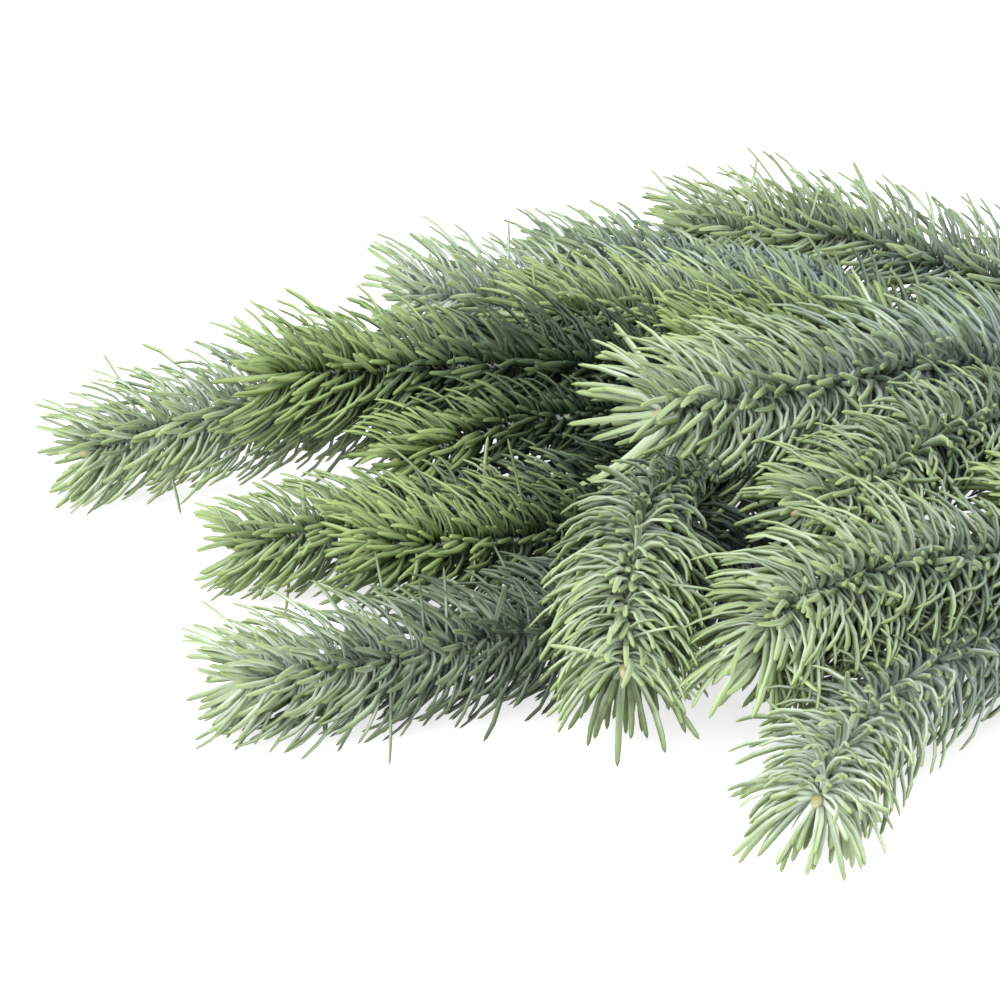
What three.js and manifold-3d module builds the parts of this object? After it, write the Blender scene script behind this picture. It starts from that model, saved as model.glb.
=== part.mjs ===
// A cut spruce branch that lies on a table: a bare main stem, thin side stems that fork from
// it, and needled shoots at their ends. Millimetres, +Z up. +X runs along the branch to its
// cut end, so the shoots point towards -X, and the origin is under the middle of the branch.

import * as THREE from "three";
import { mergeVertices } from "three/addons/utils/BufferGeometryUtils.js";
import Module from "manifold-3d";

const wasm = await Module();
wasm.setup();

// Driving sizes.
const NEEDLE_REACH = 22; // how far the needle tips stand off a shoot's twig
const NEEDLE_SWEEP = 17; // how far they lean towards the shoot's tip
const TWIG_RADIUS = 1.7; // the woody core of a needled shoot
const SIDE_STEM_RADII = [2.8, 2.3]; // at the fork and at the far end
const CLEARANCE = 0.9; // kept between neighbouring pieces
const BUTT_GAP = 0.35; // kept where one piece ends on another
const PRESSED = 5; // how far needles would pass the table if it didn't press them flat
const MIDDLE = new THREE.Vector3(89, 97.4, 0); // middle of the footprint in the layout below

// The layout. Each limb starts on its parent stem, at a share of that stem's length, and runs
// through the points given to its end.
const STEMS = [
  {
    name: "main_stem",
    start: [332, 98, 4.8],
    through: [[270, 100, 18], [205, 100, 34], [140, 102, 44], [80, 108, 50], [44, 111, 53]],
    radii: [6, 2.8],
  },
  { name: "side_stem_far_back", parent: "main_stem", at: 0.32, through: [[224, 130, 37], [212, 158, 42]] },
  { name: "side_stem_back", parent: "main_stem", at: 0.55, through: [[146, 128, 48], [122, 152, 53]] },
  { name: "side_stem_back_left", parent: "main_stem", at: 0.8, through: [[70, 128, 50], [48, 140, 49]] },
  { name: "side_stem_front_left", parent: "main_stem", at: 0.66, through: [[112, 84, 43], [92, 68, 41]] },
  { name: "side_stem_front", parent: "main_stem", at: 0.3, through: [[222, 70, 36], [200, 48, 41]] },
];

const SHOOTS = [
  {
    name: "shoot_far_left",
    stem: "side_stem_back_left",
    at: 1,
    through: [[22, 150, 47], [-16, 154, 44], [-86, 158, 31], [-134, 152, 19]],
  },
  {
    name: "shoot_left_upper",
    stem: "side_stem_back_left",
    at: 0.5,
    through: [[30, 132, 58], [-27, 135, 57], [-71, 132, 56]],
  },
  {
    name: "shoot_back_left",
    stem: "side_stem_back",
    at: 1,
    through: [[96, 176, 55], [58, 188, 53], [9, 194, 53], [-29, 196, 54]],
  },
  {
    name: "shoot_back_middle",
    stem: "side_stem_back",
    at: 0.8,
    through: [[118, 186, 60], [96, 208, 62], [60, 223, 55], [18, 228, 51]],
  },
  {
    name: "shoot_back_right",
    stem: "side_stem_far_back",
    at: 1,
    through: [[200, 196, 47], [168, 218, 51], [109, 242, 58], [65, 246, 56]],
  },
  {
    name: "shoot_back_inner",
    stem: "side_stem_far_back",
    at: 0.7,
    through: [[194, 166, 46], [170, 175, 47], [147, 179, 48]],
  },
  {
    name: "shoot_upper_back",
    stem: "side_stem_back",
    at: 0.5,
    through: [[104, 150, 66], [52, 166, 62], [12, 163, 61]],
  },
  {
    name: "shoot_upper_inner",
    stem: "main_stem",
    at: 0.6,
    through: [[124, 128, 68], [96, 134, 67], [60, 128, 66]],
  },
  {
    name: "shoot_upper_middle",
    stem: "main_stem",
    at: 0.4,
    through: [[156, 109, 68], [99, 94, 71], [49, 79, 69]],
  },
  { name: "shoot_leader", stem: "main_stem", at: 1, through: [[6, 112, 49], [-31, 108, 38]] },
  {
    name: "shoot_low_left",
    stem: "main_stem",
    at: 0.93,
    through: [[20, 94, 35], [-30, 90, 28], [-80, 88, 19]],
  },
  {
    name: "shoot_middle_left",
    stem: "main_stem",
    at: 0.82,
    through: [[52, 88, 36], [12, 71, 31], [-39, 66, 31]],
  },
  {
    name: "shoot_front_left",
    stem: "side_stem_front_left",
    at: 1,
    through: [[66, 48, 35], [21, 30, 27], [-23, 18, 22], [-73, 12, 17]],
  },
  {
    name: "shoot_drooping",
    stem: "side_stem_front_left",
    at: 0.45,
    through: [[74, 66, 58], [47, 48, 59], [38, 18, 51], [35, -8, 33]],
  },
  {
    name: "shoot_front_middle",
    stem: "side_stem_front",
    at: 1,
    through: [[176, 34, 46], [139, 25, 50], [103, 10, 53], [79, -3, 48], [72, -8, 36]],
  },
  {
    name: "shoot_front_right",
    stem: "side_stem_front",
    at: 0.8,
    through: [[178, 28, 29], [144, 18, 29], [112, -8, 27], [93, -34, 21], [86, -52, 18]],
  },
  {
    name: "shoot_right_end",
    stem: "side_stem_front",
    at: 0.4,
    through: [[214, 34, 34], [204, 4, 24], [192, -30, 17]],
  },
  {
    name: "shoot_upper_right",
    stem: "main_stem",
    at: 0.34,
    through: [[180, 88, 58], [139, 76, 67], [112, 52, 62], [88, 42, 56]],
  },
  {
    name: "shoot_right_inner",
    stem: "side_stem_front",
    at: 0.6,
    through: [[190, 54, 60], [170, 47, 62], [150, 44, 58]],
  },
];

// What is plain from here on: shapes of the pieces.
const STEM_SIDES = 8;
const STEM_RING_STEP = 14;
const BARK_RELIEF = 0.35; // height of the leaf cushions along a stem
const LOCKS_PER_WHORL = 6;
const WHORL_STEP = 17; // distance between whorls of needles
const CROTCH_SHARE = 0.36; // radius between two whorls, as a share of the reach
const VALLEY_SHARE = 0.6; // radius between two locks of a whorl
const LEAST_LEAN = 3; // how far ahead even a lock with no room for it ends
const AXIS_SAMPLE = 2; // spacing of the points that distances are measured to
const TIP_LEAD = 12; // how far a shoot's needles carry its axis on past its end

const bark = new THREE.MeshStandardMaterial({ color: 0x6b5a3c, roughness: 0.85, metalness: 0 });
const needles = new THREE.MeshStandardMaterial({ color: 0x7d9877, roughness: 0.6, metalness: 0 });

const vector = ([x, y, z]) => new THREE.Vector3(x, y, z).sub(MIDDLE);

function curveOf(start, through) {
  return new THREE.CatmullRomCurve3([start, ...through.map(vector)], false, "catmullrom", 0.5);
}

function samplesOf(curve, lead) {
  const length = curve.getLength();
  const count = Math.ceil(length / AXIS_SAMPLE);
  const points = curve.getSpacedPoints(count);
  const ahead = curve.getTangentAt(1);
  for (let s = AXIS_SAMPLE; s <= lead; s += AXIS_SAMPLE) {
    points.push(points[count].clone().addScaledVector(ahead, s));
  }
  return points;
}

function distanceTo(points, p) {
  let least = Infinity;
  for (const q of points) least = Math.min(least, p.distanceToSquared(q));
  return Math.sqrt(least);
}

// A limb's place and its two cross directions at a distance along it, carried on straight past
// its end.
function rail(curve) {
  const length = curve.getLength();
  const count = Math.ceil(length / AXIS_SAMPLE);
  const frames = curve.computeFrenetFrames(count, false);
  return {
    length,
    at(s) {
      const share = Math.min(s / length, 1);
      const i = Math.round(share * count);
      const place = curve.getPointAt(Math.max(share, 0));
      if (s > length) place.addScaledVector(frames.tangents[count], s - length);
      return { place, across: frames.normals[i], over: frames.binormals[i] };
    },
  };
}

function onRing({ place, across, over }, angle, radius) {
  const point = place.clone().addScaledVector(across, radius * Math.cos(angle));
  return point.addScaledVector(over, radius * Math.sin(angle));
}

// A closed solid through rings of points, with a point that closes each end.
function loft(rings, first, last) {
  const sides = rings[0].length;
  const positions = [first, ...rings.flat(), last].flatMap((p) => [p.x, p.y, p.z]);
  const index = [];
  const at = (ring, side) => 1 + ring * sides + (side % sides);
  const end = rings.length - 1;
  for (let j = 0; j < sides; j++) {
    index.push(0, at(0, j + 1), at(0, j));
    for (let i = 0; i < end; i++) {
      index.push(at(i, j), at(i, j + 1), at(i + 1, j));
      index.push(at(i, j + 1), at(i + 1, j + 1), at(i + 1, j));
    }
    index.push(at(end, j), at(end, j + 1), 1 + rings.length * sides);
  }
  const geometry = new THREE.BufferGeometry();
  geometry.setAttribute("position", new THREE.Float32BufferAttribute(positions, 3));
  geometry.setIndex(index);
  return geometry;
}

function solidOf(geometry) {
  geometry.deleteAttribute("normal");
  geometry.deleteAttribute("uv");
  const merged = mergeVertices(geometry, 1e-4);
  const vertProperties = merged.attributes.position.array;
  const triVerts = new Uint32Array(merged.index.array);
  return new wasm.Manifold(new wasm.Mesh({ numProp: 3, vertProperties, triVerts }));
}

function geometryOf(solid) {
  const mesh = solid.getMesh();
  const geometry = new THREE.BufferGeometry();
  geometry.setAttribute("position", new THREE.Float32BufferAttribute(mesh.vertProperties, 3));
  geometry.setIndex(new THREE.BufferAttribute(mesh.triVerts, 1));
  return geometry;
}

// The distance along a limb at which its first ring clears the stem that it grows from, which
// is the stem's end plane where the limb carries the stem on.
function clearOfParent(path, radius, parent, carriesOn) {
  const end = parent.curve.getPointAt(1);
  const ahead = parent.curve.getTangentAt(1);
  const clears = (p) =>
    carriesOn ? p.sub(end).dot(ahead) > BUTT_GAP : distanceTo(parent.samples, p) > parent.radius + BUTT_GAP;
  const ringClears = (s) => {
    const turns = [0, 1, 2, 3, 4, 5, 6, 7];
    return turns.every((k) => clears(onRing(path.at(s), (k * Math.PI) / 4, radius)));
  };
  let s = 0;
  while (!ringClears(s)) s += 0.25;
  return s;
}

const stems = {};

function addStem({ name, start, parent, at, through, radii = SIDE_STEM_RADII }) {
  const from = start ? vector(start) : stems[parent].curve.getPointAt(at);
  const curve = curveOf(from, through);
  const path = rail(curve);
  const begins = parent ? clearOfParent(path, radii[0], stems[parent], false) : 0;
  const count = Math.round((path.length - begins) / STEM_RING_STEP);
  const rings = [];
  for (let i = 0; i <= count; i++) {
    const s = begins + ((path.length - begins) * i) / count;
    const radius = THREE.MathUtils.lerp(radii[0], radii[1], i / count);
    const frame = path.at(s);
    rings.push(
      Array.from({ length: STEM_SIDES }, (_, j) => {
        const cushion = i > 0 && i < count && (i + j) % 2 ? BARK_RELIEF : 0;
        return onRing(frame, (j * 2 * Math.PI) / STEM_SIDES, radius + cushion);
      }),
    );
  }
  const geometry = loft(rings, path.at(begins).place, path.at(path.length).place);
  stems[name] = { curve, geometry, samples: samplesOf(curve, 0), radius: radii[0] + BARK_RELIEF };
}

STEMS.forEach(addStem);

const shoots = SHOOTS.map((shoot) => {
  const curve = curveOf(stems[shoot.stem].curve.getPointAt(shoot.at), shoot.through);
  return { ...shoot, curve, samples: samplesOf(curve, TIP_LEAD) };
});

// A shoot's solid keeps to its own side of its neighbours, off the stems and off the table.
function hasRoom(shoot, p) {
  if (p.z < -PRESSED) return false;
  const own = distanceTo(shoot.samples, p);
  const free = (other) => other === shoot || distanceTo(other.samples, p) > own + CLEARANCE;
  const off = (stem) => distanceTo(stem.samples, p) > stem.radius + CLEARANCE;
  return shoots.every(free) && Object.values(stems).every(off);
}

// The needles of a shoot as whorls of locks that lean towards its tip and reach as far as the
// needles do, on a core that closes at both ends.
function shootGeometry(shoot) {
  const path = rail(shoot.curve);
  const begins = clearOfParent(path, TWIG_RADIUS, stems[shoot.stem], shoot.at === 1);
  const sides = 2 * LOCKS_PER_WHORL;
  const whorls = Math.round((path.length - begins) / WHORL_STEP);
  const step = (path.length - begins) / whorls;
  const rings = [];

  // One point of a ring: as far out, and leaning as far forward, as there is room for.
  const reach = (s, angle, radius, lean, sweep) => {
    const point = (share) => {
      const out = THREE.MathUtils.lerp(TWIG_RADIUS, radius, share);
      return onRing(path.at(s + lean + share * sweep), angle, out);
    };
    if (hasRoom(shoot, point(1))) return point(1);
    let low = 0;
    let high = 1;
    for (let i = 0; i < 9; i++) {
      const mid = (low + high) / 2;
      if (hasRoom(shoot, point(mid))) low = mid;
      else high = mid;
    }
    return point(low);
  };
  const angleOf = (j) => (j * 2 * Math.PI) / sides;
  const ring = (make) => rings.push(Array.from({ length: sides }, (_, j) => make(j)));

  ring((j) => onRing(path.at(begins), angleOf(j), TWIG_RADIUS));
  for (let k = 0; k < whorls; k++) {
    const s = begins + 2 + k * step;
    const grown = Math.min(1, 0.72 + 0.28 * k, 0.82 + 0.14 * (whorls - k));
    const radius = NEEDLE_REACH * grown;
    ring((j) => reach(s, angleOf(j), CROTCH_SHARE * radius, 0, 0));
    ring((j) => {
      const lock = (j + k) % 2 === 0;
      const sweep = lock ? NEEDLE_SWEEP : VALLEY_SHARE * NEEDLE_SWEEP;
      return reach(s, angleOf(j), lock ? radius : VALLEY_SHARE * radius, LEAST_LEAN, sweep - LEAST_LEAN);
    });
  }
  ring((j) => reach(path.length + LEAST_LEAN, angleOf(j), 0.3 * NEEDLE_REACH, 0, 0));
  const apex = path.at(path.length + NEEDLE_SWEEP + 5).place;
  return loft(rings, path.at(begins).place, apex);
}

const table = solidOf(new THREE.BoxGeometry(900, 900, 60).translate(0, 0, -30));

const branch = new THREE.Group();
function addPiece(name, geometry, material) {
  const mesh = new THREE.Mesh(geometryOf(solidOf(geometry).subtract(table)), material);
  mesh.name = name;
  branch.add(mesh);
}

Object.entries(stems).forEach(([name, stem]) => addPiece(name, stem.geometry, bark));
shoots.forEach((shoot) => addPiece(shoot.name, shootGeometry(shoot), needles));

export default branch;
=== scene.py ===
# A frosted spruce branch on a pale table: a woody stem that forks into shoots, each shoot with
# its twig, its bud and several hundred curved needles. Metres, +Z up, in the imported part's frame.

import math

import bpy
import numpy as np
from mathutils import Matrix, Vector


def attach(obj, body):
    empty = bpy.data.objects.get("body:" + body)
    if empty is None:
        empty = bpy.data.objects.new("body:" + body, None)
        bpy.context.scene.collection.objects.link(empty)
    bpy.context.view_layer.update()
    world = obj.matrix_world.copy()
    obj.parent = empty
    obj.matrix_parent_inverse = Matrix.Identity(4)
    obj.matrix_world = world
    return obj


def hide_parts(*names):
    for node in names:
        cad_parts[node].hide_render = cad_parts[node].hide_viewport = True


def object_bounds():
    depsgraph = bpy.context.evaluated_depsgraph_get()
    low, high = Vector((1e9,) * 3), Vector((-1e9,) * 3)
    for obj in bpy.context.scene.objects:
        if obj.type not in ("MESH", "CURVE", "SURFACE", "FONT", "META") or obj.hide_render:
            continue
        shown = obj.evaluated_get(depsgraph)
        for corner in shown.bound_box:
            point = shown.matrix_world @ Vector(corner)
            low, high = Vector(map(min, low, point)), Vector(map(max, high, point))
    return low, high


bl_info = {
    "name": "Frosted Spruce Branch",
    "version": (1, 0, 0),
    "blender": (4, 5, 0),
    "location": "3D View > Sidebar > Spruce",
    "description": "Needled shoots, woody stems, table and light of a spruce branch",
    "category": "Add Mesh",
}

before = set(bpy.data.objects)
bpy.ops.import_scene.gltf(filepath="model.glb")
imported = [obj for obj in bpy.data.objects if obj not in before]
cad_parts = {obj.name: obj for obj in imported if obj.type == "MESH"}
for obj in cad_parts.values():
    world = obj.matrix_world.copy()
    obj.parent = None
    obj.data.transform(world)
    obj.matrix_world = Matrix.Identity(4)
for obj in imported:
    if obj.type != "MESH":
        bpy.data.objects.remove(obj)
CAD_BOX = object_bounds()
BOX_LOW, BOX_TOP = np.array(CAD_BOX[0]), np.array(CAD_BOX[1])

# The layout, in millimetres, as the part's source has it. Each limb starts on its parent stem,
# at a share of that stem's length, and runs through the points given to its end.
MM = 0.001
MIDDLE = (89, 97.4, 0)  # middle of the footprint, which is the frame's origin

STEMS = {
    "main_stem": {
        "start": (332, 98, 4.8),
        "through": [(270, 100, 18), (205, 100, 34), (140, 102, 44), (80, 108, 50), (44, 111, 53)],
        "radii": (6, 2.8),
    },
    "side_stem_far_back": {"stem": "main_stem", "at": 0.32, "through": [(224, 130, 37), (212, 158, 42)]},
    "side_stem_back": {"stem": "main_stem", "at": 0.55, "through": [(146, 128, 48), (122, 152, 53)]},
    "side_stem_back_left": {"stem": "main_stem", "at": 0.8, "through": [(70, 128, 50), (48, 140, 49)]},
    "side_stem_front_left": {"stem": "main_stem", "at": 0.66, "through": [(112, 84, 43), (92, 68, 41)]},
    "side_stem_front": {"stem": "main_stem", "at": 0.3, "through": [(222, 70, 36), (200, 48, 41)]},
}
SIDE_STEM_RADII = (2.8, 2.3)

# Each shoot also has its own look. Room says how well its needles hold back a neighbour's, and
# over names the shoots that it lies on and may mix with. Reach is its needles' length as a share
# of the full one, thin_base how much shorter they are up to the share thin_to of its twig, and
# brush the share of extra needles on its underside. Base_shade and shade_below say how much
# painted shade darkens its base and its lower needles. Frost_and_painted_light says how much frost
# it has, and how much painted light lifts it out of the painted shade; yellow says how much yellow
# it has. Each stray needle has its share of the twig, its turn, its first and last angle in
# degrees, and its length.
PLAIN_LOOK = {"room": 1, "over": (), "thin_base": 0, "thin_to": 0.6, "brush": 0, "strays": ()}
SHOOTS = {
    "shoot_far_left": {
        "stem": "side_stem_back_left", "at": 1,
        "through": [(22, 150, 47), (-16, 154, 44), (-86, 158, 31), (-134, 152, 19)],
        "reach": 0.97, "base_shade": 0.3, "shade_below": 0.15, "frost_and_painted_light": 0.95, "yellow": 0.45,
    },
    "shoot_left_upper": {
        "stem": "side_stem_back_left", "at": 0.5,
        "through": [(30, 132, 58), (-27, 135, 57), (-71, 132, 56)],
        "room": 1.1, "reach": 1.0, "base_shade": 0.72, "shade_below": 0.85, "frost_and_painted_light": 0.15, "yellow": 0.55,
    },
    "shoot_back_left": {
        "stem": "side_stem_back", "at": 1,
        "through": [(96, 176, 55), (58, 188, 53), (9, 194, 53), (-29, 196, 54)],
        "room": 1.3, "reach": 1.0, "base_shade": 0.05, "shade_below": 0.15, "frost_and_painted_light": 1.25, "yellow": 0.3,
    },
    "shoot_back_middle": {
        "stem": "side_stem_back", "at": 0.8,
        "through": [(118, 186, 60), (96, 208, 62), (60, 223, 55), (18, 228, 51)],
        "room": 0.8, "reach": 0.9, "base_shade": 0.45, "shade_below": 0.6, "thin_base": 0.85,
        "thin_to": 0.85, "frost_and_painted_light": 0.75, "yellow": 0.0,
    },
    "shoot_back_right": {
        "stem": "side_stem_far_back", "at": 1,
        "through": [(200, 196, 47), (168, 218, 51), (109, 242, 58), (65, 246, 56)],
        "room": 1.8, "reach": 0.98, "base_shade": 0.15, "shade_below": 0.1, "frost_and_painted_light": 0.75, "yellow": 0.55,
        "over": ["shoot_back_middle"],
        "strays": [(0.8, 275, 70, 46, 35), (0.76, 262, 66, 50, 35), (0.64, 280, 70, 50, 31)],
    },
    "shoot_back_inner": {
        "stem": "side_stem_far_back", "at": 0.7,
        "through": [(194, 166, 46), (170, 175, 47), (147, 179, 48)],
        "reach": 0.8, "base_shade": 0.3, "shade_below": 0.5, "frost_and_painted_light": 0.5, "yellow": 0.4,
    },
    "shoot_upper_back": {
        "stem": "side_stem_back", "at": 0.5, "through": [(104, 150, 66), (52, 166, 62), (12, 163, 61)],
        "room": 1.3, "reach": 0.95, "base_shade": 0.35, "shade_below": 0.5, "frost_and_painted_light": 0.4, "yellow": 0.6,
    },
    "shoot_upper_inner": {
        "stem": "main_stem", "at": 0.6, "through": [(124, 128, 68), (96, 134, 67), (60, 128, 66)],
        "reach": 0.92, "base_shade": 0.4, "shade_below": 0.5, "frost_and_painted_light": 0.15, "yellow": 0.75,
    },
    "shoot_upper_middle": {
        "stem": "main_stem", "at": 0.4, "through": [(156, 109, 68), (99, 94, 71), (49, 79, 69)],
        "room": 4.5, "reach": 1.3, "base_shade": 0.2, "shade_below": 0, "frost_and_painted_light": 0.92, "yellow": 0.4,
        "over": ["shoot_drooping", "shoot_upper_right"],
    },
    "shoot_leader": {
        "stem": "main_stem", "at": 1, "through": [(6, 112, 49), (-31, 108, 38)],
        "reach": 0.9, "base_shade": 0.78, "shade_below": 0.75, "thin_base": 0.3, "frost_and_painted_light": 0.1,
        "yellow": 0.85,
        "strays": [(0.72, 160, 70, 20, 30)],
    },
    "shoot_low_left": {
        "stem": "main_stem", "at": 0.93, "through": [(20, 94, 35), (-30, 90, 28), (-80, 88, 19)],
        "reach": 0.84, "base_shade": 0.35, "shade_below": 0.3, "frost_and_painted_light": 0.45, "yellow": 0.75,
    },
    "shoot_middle_left": {
        "stem": "main_stem", "at": 0.82, "through": [(52, 88, 36), (12, 71, 31), (-39, 66, 31)],
        "reach": 0.9, "base_shade": 0.78, "shade_below": 0.8, "frost_and_painted_light": 0.15, "yellow": 0.7,
        "strays": [(0.67, 272, 84, 80, 34), (0.72, 235, 80, 60, 30)],
    },
    "shoot_front_left": {
        "stem": "side_stem_front_left", "at": 1,
        "through": [(66, 48, 35), (21, 30, 27), (-23, 18, 22), (-73, 12, 17)],
        "room": 1.1, "reach": 0.98, "brush": 0.5, "base_shade": 0.97, "shade_below": 0.5, "frost_and_painted_light": 1.15,
        "yellow": 0.6,
        "strays": [(0.82, 150, 84, 40, 37), (0.79, 145, 88, 62, 34), (0.77, 150, 95, 88, 35)],
    },
    "shoot_drooping": {
        "stem": "side_stem_front_left", "at": 0.45,
        "through": [(74, 66, 58), (47, 48, 59), (38, 18, 51), (35, -8, 33)],
        "room": 1.15, "reach": 0.94, "brush": 0.95, "base_shade": 0.75, "shade_below": 0.8, "thin_base": 0.9,
        "thin_to": 0.68, "frost_and_painted_light": 0.85, "yellow": 0.65,
        "over": ["shoot_front_left"],
    },
    "shoot_front_middle": {
        "stem": "side_stem_front", "at": 1,
        "through": [(176, 34, 46), (139, 25, 50), (103, 10, 53), (79, -3, 48), (72, -8, 36)],
        "room": 1.15, "reach": 1.06, "brush": 0.95, "base_shade": 0.35, "shade_below": 0.85,
        "thin_base": 0.35, "frost_and_painted_light": 0.75, "yellow": 0.7,
        "over": ["shoot_front_right", "shoot_front_left"],
    },
    "shoot_front_right": {
        "stem": "side_stem_front", "at": 0.8,
        "through": [(178, 28, 29), (144, 18, 29), (112, -8, 27), (93, -34, 21), (86, -52, 18)],
        "room": 1.2, "reach": 0.95, "base_shade": 0.05, "shade_below": 0.1, "frost_and_painted_light": 1.4, "yellow": 0.5,
    },
    "shoot_right_end": {
        "stem": "side_stem_front", "at": 0.4, "through": [(214, 34, 34), (204, 4, 24), (192, -30, 17)],
        "reach": 0.9, "base_shade": 0.2, "shade_below": 0.3, "frost_and_painted_light": 0.7, "yellow": 0.4,
    },
    "shoot_upper_right": {
        "stem": "main_stem", "at": 0.34,
        "through": [(180, 88, 58), (139, 76, 67), (112, 52, 62), (88, 42, 56)],
        "room": 1.2, "reach": 0.98, "base_shade": 0.55, "shade_below": 0.65, "thin_base": 0.2,
        "frost_and_painted_light": 0.75, "yellow": 0.45,
    },
    "shoot_right_inner": {
        "stem": "side_stem_front", "at": 0.6, "through": [(190, 54, 60), (170, 47, 62), (150, 44, 58)],
        "reach": 0.85, "base_shade": 0.2, "shade_below": 0.5, "frost_and_painted_light": 0.4, "yellow": 0.8,
    },
}
SHOOTS = {name: {**PLAIN_LOOK, **shoot} for name, shoot in SHOOTS.items()}

GOLDEN_ANGLE = math.radians(137.508)
RAIL_STEP = 1 * MM
RAIL_SHARES = 60  # points between two of a limb's given points, before they are spaced evenly


def in_frame(point):
    """A point of the layout, in metres from the frame's origin."""
    return (np.array(point, float) - MIDDLE) * MM


class Rail:
    """The smooth curve through a limb's points, with a place and cross directions along it."""

    def __init__(self, points):
        spread = np.array([2 * points[0] - points[1], *points, 2 * points[-1] - points[-2]])
        share = np.linspace(0, 1, RAIL_SHARES, endpoint=False)[:, None]
        spans = []
        for before, start, end, after in zip(spread, spread[1:], spread[2:], spread[3:]):
            leave, arrive = (end - before) / 2, (after - start) / 2
            cubic = 2 * (start - end) + leave + arrive
            square = 3 * (end - start) - 2 * leave - arrive
            spans.append(start + leave * share + square * share**2 + cubic * share**3)
        dense = np.vstack([*spans, points[-1:]])
        run = np.concatenate([[0], np.cumsum(np.linalg.norm(np.diff(dense, axis=0), axis=1))])
        self.length = run[-1]
        count = int(math.ceil(self.length / RAIL_STEP)) + 1
        self.stops = np.linspace(0, self.length, count)
        self.points = np.column_stack([np.interp(self.stops, run, dense[:, k]) for k in range(3)])
        self.ahead = unit(np.gradient(self.points, self.stops, axis=0))
        self.side = self.carried_side()

    def carried_side(self):
        """A cross direction that turns as little as it can along the curve."""
        sides = [unit(np.cross(self.ahead[0], (0, 0, 1)))]
        for ahead in self.ahead[1:]:
            sides.append(unit(sides[-1] - ahead * (sides[-1] @ ahead)))
        return np.array(sides)

    def at(self, distance):
        """Places, directions ahead and cross directions, carried on straight past the end."""
        distance = np.asarray(distance, float)
        within = np.clip(distance, 0, self.length)

        def spread(values):
            return np.stack([np.interp(within, self.stops, values[:, k]) for k in range(3)], axis=-1)

        ahead = unit(spread(self.ahead))
        side = unit(spread(self.side))
        place = spread(self.points) + ahead * (distance - within)[..., None]
        return place, ahead, side, np.cross(ahead, side)


def unit(v):
    return v / np.linalg.norm(v, axis=-1, keepdims=True)


def limb_rail(limb, stem):
    """The curve of a limb that grows from a stem, or of the main stem, which has none."""
    start = stem.at(stem.length * limb["at"])[0] if stem else in_frame(limb["start"])
    return Rail(np.array([start, *map(in_frame, limb["through"])]))


STEM_RAILS, SHOOT_RAILS = {}, {}
for name, limb in STEMS.items():
    STEM_RAILS[name] = limb_rail(limb, STEM_RAILS.get(limb.get("stem")))
for name, limb in SHOOTS.items():
    SHOOT_RAILS[name] = limb_rail(limb, STEM_RAILS[limb["stem"]])


# Mesh helpers.

CELL_MARGIN = 0.03  # empty share on each side of a cell in the bake chart


def deselect_all():
    bpy.ops.object.select_all(action="DESELECT")


def rod(name, sides, profile, pointed):
    """A closed upright rod through (height, radius) pairs, extruded ring by ring."""
    deselect_all()
    height, radius = profile[0]
    bpy.ops.mesh.primitive_circle_add(
        vertices=sides, radius=radius, fill_type="NGON", location=(0, 0, height)
    )
    made = bpy.context.object
    made.name = name
    bpy.ops.object.transform_apply()
    bpy.ops.object.mode_set(mode="EDIT")
    bpy.ops.mesh.select_all(action="SELECT")
    for next_height, next_radius in profile[1:]:
        bpy.ops.mesh.extrude_region_move(TRANSFORM_OT_translate={"value": (0, 0, next_height - height)})
        ratio = next_radius / radius
        bpy.ops.transform.resize(value=(ratio, ratio, 1))
        height, radius = next_height, next_radius
    if pointed:
        bpy.ops.mesh.merge(type="CENTER")
    bpy.ops.mesh.select_all(action="SELECT")
    bpy.ops.mesh.normals_make_consistent(inside=False)
    bpy.ops.object.mode_set(mode="OBJECT")
    return made


class Shape:
    """A modelled shape as arrays, so that many copies can be bent and placed at once."""

    # Places in the unit square of the bake chart.
    END_SIZE = 0.04
    END_CENTRES = (0.05, 0.15)
    SIDES_LEFT, SIDES_WIDTH = 0.02, 0.9
    SIDES_LOW, SIDES_HEIGHT = 0.12, 0.86
    SEAM_ROOM = 1 + 1 / 6  # for the faces past the seam

    def __init__(self, made):
        mesh = made.data
        self.points = np.array([v.co for v in mesh.vertices])
        self.corners = np.array([loop.vertex_index for loop in mesh.loops])
        self.starts = np.array([face.loop_start for face in mesh.polygons])
        self.counts = np.array([face.loop_total for face in mesh.polygons])
        self.chart = self.wrapped_chart()
        bpy.data.objects.remove(made, do_unlink=True)
        bpy.data.meshes.remove(mesh)

    def wrapped_chart(self):
        """A flat layout in a unit square: around in u, along in v, and the ends in a strip below."""
        height = self.points[:, 2]
        low, high = height.min(), height.max()
        turn = np.arctan2(self.points[:, 1], self.points[:, 0]) / (2 * math.pi) % 1
        chart = np.zeros((len(self.corners), 2))
        for start, count in zip(self.starts, self.counts):
            face = self.corners[start : start + count]
            span = slice(start, start + count)
            if np.ptp(height[face]) < 1e-7:
                size = self.END_SIZE / np.abs(self.points[face, :2]).max()
                centre = self.END_CENTRES[int(height[face[0]] >= (low + high) / 2)]
                chart[span] = self.points[face, :2] * size + (centre, self.END_CENTRES[0])
                continue
            on_axis = np.hypot(self.points[face, 0], self.points[face, 1]) < 1e-8
            u = turn[face].copy()
            known = u[~on_axis]
            if np.ptp(known) > 0.5:
                u[u < 0.5] += 1
            u[on_axis] = u[~on_axis].mean()
            chart[span, 0] = self.SIDES_LEFT + self.SIDES_WIDTH * u / self.SEAM_ROOM
            chart[span, 1] = self.SIDES_LOW + self.SIDES_HEIGHT * (height[face] - low) / (high - low)
        return chart


def layer_of(shape, points, values, cells):
    return {"shape": shape, "points": points, "values": values, "cells": cells}


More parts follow.
